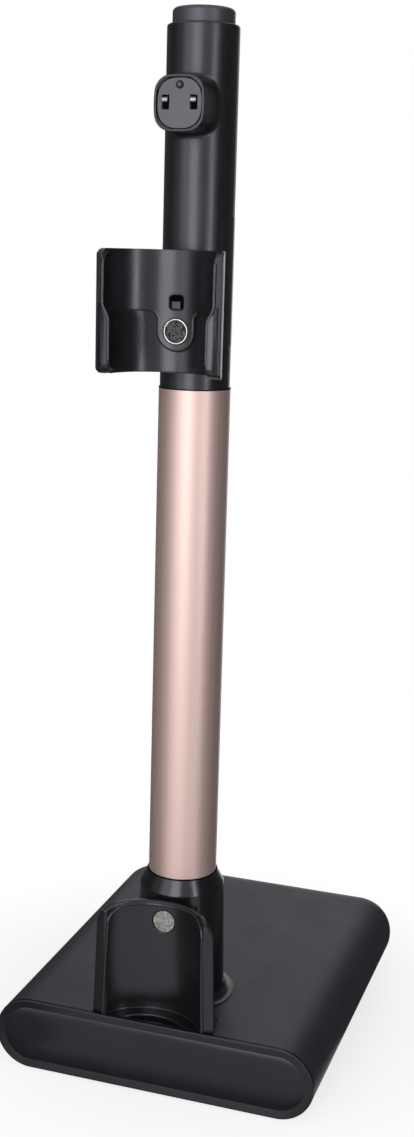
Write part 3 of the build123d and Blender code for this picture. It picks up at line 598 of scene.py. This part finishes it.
def ray_length(turn, radius, axis):
    """Distance from the ray centre to a round wall, along a turn away from the post."""
    offset = ray_centre - axis
    return offset * math.cos(turn) + math.sqrt(radius**2 - (offset * math.sin(turn)) ** 2)


def on_ray(turn, length, height):
    """Point in the upper cradle at a turn, a length from the ray centre and a height."""
    reach = min(ray_centre - length * math.cos(turn), lining_reach)
    return post_axis + Vector((length * math.sin(turn), -reach, height))


def lining_share(height):
    """How far the slimmer form counts at a height: all below the S-shaped slope, none above."""
    share = min(1.0, max(0.0, (lining_top - height) / (2 * lining_blend)))
    return share * share * (3 - 2 * share)


def lining_foot(reach):
    """Lowest height of the lining at a reach, where the wing's lower corner is rounded."""
    past = min(wing_round, max(0.0, reach - lining_reach + wing_round))
    return lining_low + wing_round - math.sqrt(wing_round**2 - past**2)


lining = bmesh.new()
inner_columns = []
outer_columns = []
for column in range(lining_columns + 1):
    turn = lining_end * (2 * column / lining_columns - 1)
    slim = ray_length(turn, slim_radius, slim_axis)
    wide = ray_length(turn, wide_radius, wide_axis) + lining_sink
    wall = ray_length(turn, wall_radius, wall_axis)
    foot = lining_foot(ray_centre - slim * math.cos(turn))
    top = tongue_top if abs(turn) < tongue_turn else lining_top
    inner_column = []
    outer_column = []
    for row in range(lining_rows + 1):
        height = foot + (top - foot) * row / lining_rows
        share = lining_share(height)
        length = slim * share + wide * (1 - share)
        inner_column.append(lining.verts.new(on_ray(turn, length, height)))
        outer_column.append(lining.verts.new(on_ray(turn, wall, height)))
    inner_columns.append(inner_column)
    outer_columns.append(outer_column)
for row in range(lining_rows):
    for column in range(lining_columns):
        for side in (inner_columns, outer_columns):
            here, beside = side[column], side[column + 1]
            lining.faces.new((here[row], beside[row], beside[row + 1], here[row + 1]))
    for column in (0, lining_columns):
        inner, outer = inner_columns[column], outer_columns[column]
        lining.faces.new((inner[row], inner[row + 1], outer[row + 1], outer[row]))
for column in range(lining_columns):
    for row in (0, lining_rows):
        inner, outer = inner_columns[column], outer_columns[column]
        next_inner, next_outer = inner_columns[column + 1], outer_columns[column + 1]
        lining.faces.new((inner[row], next_inner[row], next_outer[row], outer[row]))
slant_ends(lining, tip_half, tip_reach, tip_slant)
wing_lining = add_piece("wing_lining", lining)
wing_lining.data.set_sharp_from_angle(angle=sharp_turn)
wing_lining.data.materials.append(cradle_black)
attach(wing_lining, "stand")

# Rim beads of the upper cradle: rounded ridges along the inner edges of both wings.
# They are moulded with the wings and follow the S-shaped slope of the lining.
wing_low = 0.6288
wing_high = 0.7176
wing_corner = 0.009
wing_reach = 0.0939
wing_back = 0.0455
wing_rows = 36
upper_bead_radius = 0.0016


def wing_path(mirror):
    """Path of a wing's bead: out along the top, down over the S and back in at the bottom."""
    spots = []
    for step in range(arc_steps + 1):
        turn = quarter_turn * step / arc_steps
        reach = wing_reach - wing_corner * (1 - math.sin(turn))
        spots.append((reach, wing_high - wing_corner * (1 - math.cos(turn))))
    straight = wing_high - wing_low - 2 * wing_corner
    for row in range(1, wing_rows):
        height = wing_high - wing_corner - straight * row / wing_rows
        spots.append((wing_reach, height))
    for step in range(arc_steps + 1):
        turn = quarter_turn * step / arc_steps
        reach = wing_reach - wing_corner * (1 - math.cos(turn))
        spots.append((reach, wing_low + wing_corner * (1 - math.sin(turn))))
    path = []
    for reach, height in spots:
        share = lining_share(height)
        slim = math.sqrt(slim_radius**2 - (reach - slim_axis) ** 2)
        half = slim * share + wing_back * (1 - share)
        path.append(post_axis + Vector((mirror * half, -reach, height)))
    return path


bead("left_wing_bead", wing_path(-1), upper_bead_radius, collar_black)
bead("right_wing_bead", wing_path(1), upper_bead_radius, collar_black)

# Shade pads: thin near-black pads glued on the flange of the catch and on those of the contacts.
# They are painted shade that makes the openings look black.
pad_thickness = 0.0002
pad_segments = 6
catch_shade_pad_size = (0.0116, 0.0116, 0.0028)
contact_shade_pad_size = (0.0058, 0.011, 0.0007)
# Painted shade: a near-black, matt finish for pieces that stand in for shade in openings and
# joints.
shade_black = moulded_plastic(
    "shade_black",
    colour=(0.002, 0.002, 0.002),
    roughness=0.95,
    grain=0.0005,
    relief=0.00005,
    edge=0.0001,
    gloss=0.02,
)


def shade_pad(name, body, size, place):
    """Pad of a width, height and corner radius: its place is the middle of its back."""
    width, height, corner = size
    felt = bmesh.new()
    bmesh.ops.create_grid(felt, x_segments=1, y_segments=1, size=0.5)
    bmesh.ops.scale(felt, verts=felt.verts, vec=(width, height, 1))
    bmesh.ops.bevel(
        felt,
        geom=felt.verts[:],
        offset=corner,
        offset_type="OFFSET",
        affect="VERTICES",
        segments=pad_segments,
        profile=0.5,
        material=-1,
    )
    raised = bmesh.ops.extrude_face_region(felt, geom=felt.faces[:])
    lifted = [part for part in raised["geom"] if isinstance(part, bmesh.types.BMVert)]
    bmesh.ops.translate(felt, verts=lifted, vec=(0, 0, pad_thickness))
    bmesh.ops.recalc_face_normals(felt, faces=felt.faces)
    upright = Matrix.Translation(post_axis + Vector(place)) @ facing_front
    bmesh.ops.transform(felt, matrix=upright, verts=felt.verts)
    piece = add_piece(name, felt)
    piece.data.materials.append(shade_black)
    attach(piece, body)


shade_pad("catch_shade_pad", "catch", catch_shade_pad_size, (0, -0.0467, 0.6805))
shade_pad("left_contact_shade_pad", "left_contact", contact_shade_pad_size, (-0.0115, -0.0518, 0.8329))
shade_pad("right_contact_shade_pad", "right_contact", contact_shade_pad_size, (0.0115, -0.0518, 0.8329))

# Seams: thin near-black strips in the joints of the base's front cover and the puck's face plate.
# They are painted shade of the gaps and show as thin dark lines.
seam_radius = 0.0006
seam_sink = 0.00035
seam_steps = 24
puck_seam_radius = 0.0005
puck_seam_reach = 0.054
puck_seam_half = 0.0185
puck_seam_tall = 0.0192
puck_middle = 0.832
puck_square = 2.6
puck_steps = 96
seam_path = []
for way, start in ((1, 90), (-1, -90)):
    for step in range(seam_steps + 1):
        turn = math.radians(start - 180 * step / seam_steps)
        away = base_round - seam_sink
        side = way * (base_half - base_round) + away * math.cos(turn)
        side = max(seam_radius - base_half, min(base_half - seam_radius, side))
        height = base_middle + away * math.sin(turn)
        seam_path.append(post_axis + Vector((side, -cover_reach, height)))
seam_path.append(seam_path[0].copy())
bead("base_front_seam_shade", seam_path, seam_radius, shade_black)
puck_path = []
for step in range(puck_steps + 1):
    turn = math.tau * step / puck_steps
    across, up = math.cos(turn), math.sin(turn)
    side = math.copysign(abs(across) ** (2 / puck_square), across) * puck_seam_half
    rise = math.copysign(abs(up) ** (2 / puck_square), up) * puck_seam_tall
    puck_path.append(post_axis + Vector((side, -puck_seam_reach, puck_middle + rise)))
bead("puck_seam_shade", puck_path, puck_seam_radius, shade_black)

# Side plate: a bare strip of gloss plastic glued to the housing's right side.
# It follows the round housing, has rounded corners and stands a little proud.
plate_radius = 0.02955
plate_wall = 0.0007
plate_low = 0.645
plate_high = 0.7486
plate_corner = 0.005
plate_start = math.radians(58)
plate_end = math.radians(122)
plate_columns = 48
plate = bmesh.new()
plate_reach = plate_radius * (plate_end - plate_start) / 2
columns = []
for column in range(plate_columns + 1):
    across = -math.cos(math.pi * column / plate_columns) * plate_reach
    past = max(0.0, abs(across) - plate_reach + plate_corner)
    trim = plate_corner - math.sqrt(max(0.0, plate_corner**2 - past**2))
    outward = direction((plate_start + plate_end) / 2 + across / plate_radius) * plate_radius
    low = plate.verts.new(post_axis + outward + Vector((0, 0, plate_low + trim)))
    high = plate.verts.new(post_axis + outward + Vector((0, 0, plate_high - trim)))
    columns.append((low, high))
for (low, high), (next_low, next_high) in zip(columns, columns[1:]):
    plate.faces.new((low, next_low, next_high, high))
bmesh.ops.recalc_face_normals(plate, faces=plate.faces)
bmesh.ops.solidify(plate, geom=plate.faces[:], thickness=plate_wall)
smooth_outward(plate)
side_plate = add_piece("side_plate", plate)
side_plate.data.set_sharp_from_angle(angle=sharp_turn)
gloss_black = moulded_plastic(
    "gloss_black",
    colour=(0.006, 0.006, 0.007),
    roughness=0.1,
    grain=0.0006,
    relief=0.000002,
    edge=0.0002,
)
side_plate.data.materials.append(gloss_black)
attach(side_plate, "stand")

# Grey plastic pieces: the top cap, the face plate of the charging puck, the pin and the inlet.
# They are moulded in a lighter dyed plastic than the housing.
cap_grey = moulded_plastic(
    "cap_grey",
    colour=(0.022, 0.022, 0.026),
    roughness=0.42,
    grain=0.0006,
    relief=0.00001,
    edge=0.0005,
    cast=cool_cast,
)
plate_grey = moulded_plastic(
    "plate_grey",
    colour=(0.03, 0.03, 0.036),
    roughness=0.4,
    grain=0.0006,
    relief=0.00001,
    edge=0.0003,
    cast=cool_cast,
)
finish_nodes(cap_grey, "top_cap", "dc_jack", "dock_plunger")
finish_nodes(plate_grey, "contact_plate")

# Post tube: drawn aluminium, blasted and anodised in rose gold.
# Faint drawing lines run along it under the satin finish.
anodised_share = 0.8
seal_ior = 1.7
seal_roughness = 0.4
line_stretch = (900, 900, 4)
line_detail = 3.0
rose_dark = (0.41, 0.285, 0.26, 1)
rose_light = (0.47, 0.33, 0.30, 1)
satin_low = 0.48
satin_high = 0.56
blast_scale = 2200.0
blast_relief = 0.000006
rose_gold = bpy.data.materials.new("rose_gold_anodised")
rose_gold.use_nodes = True
tree = rose_gold.node_tree
shader = tree.nodes["Principled BSDF"]
shader.inputs["Metallic"].default_value = anodised_share
shader.inputs["Coat Weight"].default_value = 1.0
shader.inputs["Coat IOR"].default_value = seal_ior
shader.inputs["Coat Roughness"].default_value = seal_roughness
place = tree.nodes.new("ShaderNodeTexCoord")
stretch = tree.nodes.new("ShaderNodeMapping")
stretch.inputs["Scale"].default_value = line_stretch
tree.links.new(place.outputs["Object"], stretch.inputs["Vector"])
lines = tree.nodes.new("ShaderNodeTexNoise")
lines.inputs["Scale"].default_value = 1.0
lines.inputs["Detail"].default_value = line_detail
tree.links.new(stretch.outputs[0], lines.inputs["Vector"])
tint = tree.nodes.new("ShaderNodeMix")
tint.data_type = "RGBA"
tint.inputs[mix_first].default_value = rose_dark
tint.inputs[mix_second].default_value = rose_light
tree.links.new(lines.outputs["Fac"], tint.inputs["Factor"])
tree.links.new(tint.outputs[mix_result], shader.inputs["Base Color"])
satin = tree.nodes.new("ShaderNodeMapRange")
satin.inputs["To Min"].default_value = satin_low
satin.inputs["To Max"].default_value = satin_high
tree.links.new(lines.outputs["Fac"], satin.inputs["Value"])
tree.links.new(satin.outputs[0], shader.inputs["Roughness"])
blast = tree.nodes.new("ShaderNodeTexNoise")
blast.inputs["Scale"].default_value = blast_scale
tree.links.new(place.outputs["Object"], blast.inputs["Vector"])
bump = tree.nodes.new("ShaderNodeBump")
bump.inputs["Distance"].default_value = blast_relief
tree.links.new(blast.outputs["Fac"], bump.inputs["Height"])
tree.links.new(bump.outputs[0], shader.inputs["Normal"])
finish_nodes(rose_gold, "post_tube")

# Magnets: nickel-plated discs glued into the cradles.
# Both plated discs have a mottled tone; the upper disc is coloured far darker than the lower one.
patch_detail = 5.0
patch_low = 0.38
patch_high = 0.66
plating_spread = 0.08


def plated_metal(name, colour, roughness, mottle, spread):
    """Plated metal with a mottled tone of a given size and spread."""
    material = bpy.data.materials.new(name)
    material.use_nodes = True
    tree = material.node_tree
    shader = tree.nodes["Principled BSDF"]
    shader.inputs["Metallic"].default_value = 1.0
    place = tree.nodes.new("ShaderNodeTexCoord")
    patches = tree.nodes.new("ShaderNodeTexNoise")
    patches.inputs["Scale"].default_value = 1.0 / mottle
    patches.inputs["Detail"].default_value = patch_detail
    tree.links.new(place.outputs["Object"], patches.inputs["Vector"])
    tone = tree.nodes.new("ShaderNodeMix")
    tone.data_type = "RGBA"
    tone.inputs[mix_first].default_value = (*[part * (1 - spread) for part in colour], 1)
    tone.inputs[mix_second].default_value = (*colour, 1)
    contrast = tree.nodes.new("ShaderNodeMapRange")
    contrast.inputs["From Min"].default_value = patch_low
    contrast.inputs["From Max"].default_value = patch_high
    tree.links.new(patches.outputs["Fac"], contrast.inputs["Value"])
    tree.links.new(contrast.outputs[0], tone.inputs["Factor"])
    tree.links.new(tone.outputs[mix_result], shader.inputs["Base Color"])
    polish = tree.nodes.new("ShaderNodeMapRange")
    polish.inputs["To Min"].default_value = roughness - plating_spread
    polish.inputs["To Max"].default_value = roughness + plating_spread
    tree.links.new(patches.outputs["Fac"], polish.inputs["Value"])
    tree.links.new(polish.outputs[0], shader.inputs["Roughness"])
    return material


dark_mottled_nickel = plated_metal(
    "dark_mottled_nickel", colour=(0.056, 0.056, 0.06), roughness=0.3, mottle=0.0014, spread=0.97
)
finish_nodes(dark_mottled_nickel, "upper_magnet")
magnet_nickel = plated_metal(
    "magnet_nickel", colour=(0.31, 0.3, 0.29), roughness=0.4, mottle=0.0025, spread=0.5
)
finish_nodes(magnet_nickel, "lower_magnet")

# Rings: the polished, rounded edge of the upper magnet, and near-black rings at both ends of the
# tube.
# The edge is plated with the disc; the rings are painted shade in the joints of the tube.
ring_sides = 12
ring_steps = 64
bright_nickel = plated_metal(
    "bright_nickel", colour=(0.66, 0.65, 0.63), roughness=0.2, mottle=0.002, spread=0.15
)


def add_ring(name, centre, axis, radius, wire, finish):
    """Round ring about an axis."""
    hoop = bmesh.new()
    middle = post_axis + Vector(centre)
    loop = []
    for side in range(ring_sides):
        turn = math.tau * side / ring_sides
        away = Vector((radius + wire * math.cos(turn), 0, 0))
        loop.append(hoop.verts.new(middle + away + Vector(axis) * wire * math.sin(turn)))
    edges = [hoop.edges.new((loop[side - 1], loop[side])) for side in range(ring_sides)]
    bmesh.ops.spin(
        hoop,
        geom=[*loop, *edges],
        cent=middle,
        axis=axis,
        angle=math.tau,
        steps=ring_steps,
        use_merge=True,
    )
    smooth_outward(hoop)
    piece = add_piece(name, hoop)
    piece.data.materials.append(finish)
    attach(piece, "stand")


add_ring(
    "magnet_rim",
    centre=(0, -0.0508, 0.6577),
    axis=(0, 1, 0),
    radius=0.00955,
    wire=0.0005,
    finish=bright_nickel,
)
add_ring(
    "lower_joint_shade",
    centre=(0, 0, 0.1824),
    axis=(0, 0, 1),
    radius=0.0303,
    wire=0.0008,
    finish=shade_black,
)
add_ring(
    "upper_joint_shade",
    centre=(0, 0, 0.6096),
    axis=(0, 0, 1),
    radius=0.0297,
    wire=0.0005,
    finish=shade_black,
)

# Contacts: bent strips of bright nickel-plated metal behind two slots.
# They are sprung and press in when the appliance docks.
contact_nickel = plated_metal(
    "contact_nickel", colour=(0.3, 0.295, 0.29), roughness=0.28, mottle=0.001, spread=0.3
)
finish_nodes(contact_nickel, "contact_left", "contact_right")

# Hidden fasteners: zinc-plated steel screws that hold both cradles.
# They sit inside the housing and the socket.
zinc = plated_metal(
    "screw_zinc", colour=(0.56, 0.56, 0.55), roughness=0.3, mottle=0.0015, spread=0.2
)
finish_nodes(zinc, "lower_cradle_screws", "upper_cradle_screws")

# Springs: compression springs of zinc-plated wire, behind the catch, the contacts and the pin.
# They sit loose in their pockets and shorten as the piece in front presses in.
coil_wire = 0.0007
coil_pitch = 0.0018
coil_sides = 8
coil_steps = 24


def add_coil(name, node):
    """Open coil that stands for a CAD sleeve and runs back to its rear seat."""
    low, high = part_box(node)
    length = high.y - low.y
    middle = Vector(((low.x + high.x) / 2, low.y + coil_wire / 2, (low.z + high.z) / 2))
    arm = (high.x - low.x - coil_wire) / 2
    turns = round((length - coil_wire) / coil_pitch)
    steps = turns * coil_steps
    coil = bmesh.new()
    bmesh.ops.create_circle(coil, cap_ends=True, segments=coil_sides, radius=coil_wire / 2)
    bmesh.ops.translate(coil, verts=coil.verts, vec=middle + Vector((arm, 0, 0)))
    bmesh.ops.spin(
        coil,
        geom=[*coil.verts, *coil.edges, *coil.faces],
        cent=middle,
        axis=(0, 1, 0),
        dvec=(0, (length - coil_wire) / steps, 0),
        angle=math.tau * turns,
        steps=steps,
    )
    smooth_outward(coil)
    piece = add_piece(name, coil)
    piece.data.set_sharp_from_angle(angle=bead_turn)
    piece.data.materials.append(zinc)
    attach(piece, "stand")
    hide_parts(node)
    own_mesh(piece)


add_coil("catch_coil", "catch_spring")
add_coil("left_contact_coil", "contact_spring_left")
add_coil("right_contact_coil", "contact_spring_right")
add_coil("plunger_coil", "plunger_spring")

# Inner and lower pieces: a plain steel weight, rubber feet, a rubber lead and a circuit board.
# They are glued, screwed or clipped in and are hardly seen.
plain_steel = plated_metal(
    "ballast_steel", colour=(0.3, 0.3, 0.3), roughness=0.5, mottle=0.004, spread=0.3
)
finish_nodes(plain_steel, "ballast_plate")
soft_rubber = moulded_plastic(
    "soft_rubber",
    colour=(0.025, 0.025, 0.025),
    roughness=0.7,
    grain=0.0008,
    relief=0.00002,
    edge=0.0005,
)
finish_nodes(soft_rubber, "rubber_feet", "power_lead")
laminate = moulded_plastic(
    "board_laminate",
    colour=(0.03, 0.12, 0.05),
    roughness=0.45,
    grain=0.0007,
    relief=0.00001,
    edge=0.0002,
)
finish_nodes(laminate, "contact_board")

# Screws: zinc-plated steel with domed pan heads and a cross recess, driven into the moulded bosses.
# Those at the back and underneath can be seen in their holes.
rim_share = 0.45
flat_share = 0.62
arm_share = 0.46
slot_share = 0.13
recess_share = 0.6
recess_taper = 0.8
dome_steps = 6
screw_sides = 24
screw_weld = 0.000001


def screw_mesh(radius, head_radius, head_height, grip):
    """Turned screw on the z axis, the underside of its head at zero, a cross recess on top."""
    turned = bmesh.new()
    outline = [(0, -grip), (radius, -grip), (radius, 0), (head_radius, 0)]
    for step in range(dome_steps + 1):
        turn = quarter_turn * step / dome_steps
        away = head_radius * (flat_share + (1 - flat_share) * math.cos(turn))
        outline.append((away, head_height * (rim_share + (1 - rim_share) * math.sin(turn))))
    line = [turned.verts.new((away, 0, height)) for away, height in outline]
    edges = [turned.edges.new(pair) for pair in zip(line, line[1:])]
    bmesh.ops.spin(
        turned,
        geom=[*line, *edges],
        cent=(0, 0, 0),
        axis=(0, 0, 1),
        angle=math.tau,
        steps=screw_sides,
        use_merge=True,
    )
    bmesh.ops.remove_doubles(turned, verts=turned.verts, dist=screw_weld)
    rim = [edge for edge in turned.edges if edge.is_boundary]
    arm = arm_share * head_radius
    half = slot_share * head_radius
    quarter = [(arm, -half), (arm, half), (half, half)]
    cross = []
    for turn in range(4):
        spin = Matrix.Rotation(quarter_turn * turn, 2)
        cross += [spin @ Vector(point) for point in quarter]
    top = [turned.verts.new((point.x, point.y, head_height)) for point in cross]
    floor_height = head_height * (1 - recess_share)
    bottom = []
    for point in cross:
        tapered = (point.x * recess_taper, point.y * recess_taper, floor_height)
        bottom.append(turned.verts.new(tapered))
    brim = [turned.edges.new((top[turn - 1], top[turn])) for turn in range(len(top))]
    for turn in range(len(top)):
        turned.faces.new((top[turn - 1], top[turn], bottom[turn], bottom[turn - 1]))
    turned.faces.new(bottom)
    bmesh.ops.bridge_loops(turned, edges=rim + brim)
    smooth_outward(turned)
    data = bpy.data.meshes.new("screw")
    turned.to_mesh(data)
    turned.free()
    return data


def add_screws(name, node, seats, out, radius, head_radius, head_height, grip):
    """Screws of one size that replace a CAD node: each seat is the point under a head."""
    one = screw_mesh(radius, head_radius, head_height, grip)
    group = bmesh.new()
    turn = Vector(out).to_track_quat("Z", "Y").to_matrix().to_4x4()
    for seat in seats:
        known = len(group.verts)
        group.from_mesh(one)
        group.verts.ensure_lookup_table()
        place = Matrix.Translation(post_axis + Vector(seat)) @ turn
        bmesh.ops.transform(group, matrix=place, verts=group.verts[known:])
    piece = add_piece(name, group)
    piece.data.set_sharp_from_angle(angle=sharp_turn)
    piece.data.materials.append(zinc)
    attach(piece, "stand")
    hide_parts(node)


rear_way = (0, 1, 0)
floor_way = (0, 0, -1)
housing_seats = [(side, 0.016, height) for side in (-0.016, 0.016) for height in (0.748, 0.872)]
add_screws(
    "housing_cross_screws",
    "housing_screws",
    housing_seats,
    rear_way,
    radius=0.0015,
    head_radius=0.0029,
    head_height=0.0022,
    grip=0.028,
)
add_screws(
    "lock_cross_screw",
    "tube_lock_screw",
    [(0, 0.037, 0.133)],
    rear_way,
    radius=0.002,
    head_radius=0.0044,
    head_height=0.0026,
    grip=0.0105,
)
add_screws(
    "sleeve_cross_screw",
    "sleeve_screw",
    [(0, 0.0276, 0.6188)],
    rear_way,
    radius=0.0015,
    head_radius=0.0029,
    head_height=0.0013,
    grip=0.0052,
)
base_seats = [(side, back, 0.006) for side in (-0.104, 0.104) for back in (-0.018, 0.1, 0.2)]
add_screws(
    "base_cross_screws",
    "base_screws",
    base_seats,
    floor_way,
    radius=0.0015,
    head_radius=0.0029,
    head_height=0.0022,
    grip=0.03,
)
socket_seats = [(side, back, 0.0046) for side in (-0.0212, 0.0212) for back in (-0.0212, 0.0212)]
add_screws(
    "socket_cross_screws",
    "socket_screws",
    socket_seats,
    floor_way,
    radius=0.0025,
    head_radius=0.0045,
    head_height=0.0024,
    grip=0.02,
)
